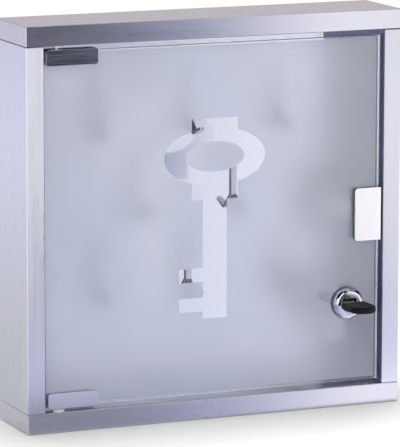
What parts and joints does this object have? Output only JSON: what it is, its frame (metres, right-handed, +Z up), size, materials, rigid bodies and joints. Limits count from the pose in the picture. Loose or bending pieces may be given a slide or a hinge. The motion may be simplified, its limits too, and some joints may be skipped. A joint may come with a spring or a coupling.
{
  "type": "key cabinet",
  "caption": "Wall key cabinet: folded brushed case, hinged frosted glass door with a clear key shaped window, cam lock with its key, push latch and hooks inside.",
  "frame": {"origin": "middle of the case's underside, on the surface it stands on", "axes": "+Z up, the door faces -Y, the hinges are at -X and the wall is at +Y"},
  "size_m": [0.3, 0.0905, 0.3],
  "materials": {
    "brushed_case": "brushed stainless sheet",
    "mirror_panel": "bright annealed stainless sheet, mirror like",
    "hook_steel": "satin steel strip",
    "clear_glass": "clear float glass with ground edges",
    "frost": "satin frosted layer",
    "chrome": "polished chrome plate",
    "bright_strike": "polished chrome plate",
    "plain_steel": "plain steel",
    "white_plastic": "moulded white plastic",
    "soft_liner": "soft clear plastic",
    "black_rubber": "black rubber",
    "black_plastic": "glossy black moulding",
    "key_metal": "nickel plated key blank",
    "brass": "stamped brass",
    "magnet": "nickel plated magnet"
  },
  "bodies": {
    "case": {"top_rail": "brushed_case", "bottom_rail": "brushed_case", "left_side": "brushed_case", "right_side": "brushed_case", "back_panel": "mirror_panel", "hook_1": "hook_steel", "hook_2": "hook_steel", "hook_3": "hook_steel", "hook_4": "hook_steel", "hook_5": "hook_steel", "hook_6": "hook_steel", "hook_7": "hook_steel", "hook_8": "hook_steel", "top_bush": "white_plastic", "bottom_bush": "white_plastic", "latch_housing": "white_plastic", "latch_cap": "white_plastic", "latch_spring": "plain_steel", "latch_screws": "plain_steel"},
    "door": {"glass_pane": "clear_glass", "frost_film": "frost", "top_clamp": "chrome", "top_liner": "soft_liner", "top_pressure_plate": "plain_steel", "top_clamp_screws": "plain_steel", "top_pivot_pin": "plain_steel", "bottom_clamp": "chrome", "bottom_liner": "soft_liner", "bottom_pressure_plate": "plain_steel", "bottom_clamp_screws": "plain_steel", "bottom_pivot_pin": "plain_steel", "strike_plate": "bright_strike", "strike_pad": "soft_liner", "lock_body": "chrome", "lock_gasket": "black_rubber", "lock_washer": "black_rubber", "lock_nut": "plain_steel"},
    "lock_core": {"lock_plug": "chrome", "lock_wafers": "brass", "cam": "plain_steel", "cam_screw": "plain_steel"},
    "key": {"key_blade": "key_metal", "key_bow": "black_plastic"},
    "push_plunger": {"latch_plunger": "white_plastic", "latch_magnet": "magnet"}
  },
  "joints": [
    {"name": "door_hinge", "type": "hinge", "parent": "case", "child": "door", "pos_m": [-0.124, -0.023, 0.15], "axis": [0, 0, -1], "range_deg": [0, 115]},
    {"name": "lock_turn", "type": "hinge", "parent": "door", "child": "lock_core", "pos_m": [0.1095, -0.025, 0.0782], "axis": [0, -1, 0], "range_deg": [0, 90]},
    {"name": "key_pull", "type": "slide", "parent": "lock_core", "child": "key", "axis": [0, -1, 0], "range_m": [0, 0.022]},
    {"name": "latch_press", "type": "slide", "parent": "case", "child": "push_plunger", "axis": [0, 1, 0], "range_m": [0, 0.004], "stiffness_N_per_m": 250, "springref_m": -0.004, "deforming": ["latch_spring"]}
  ]
}
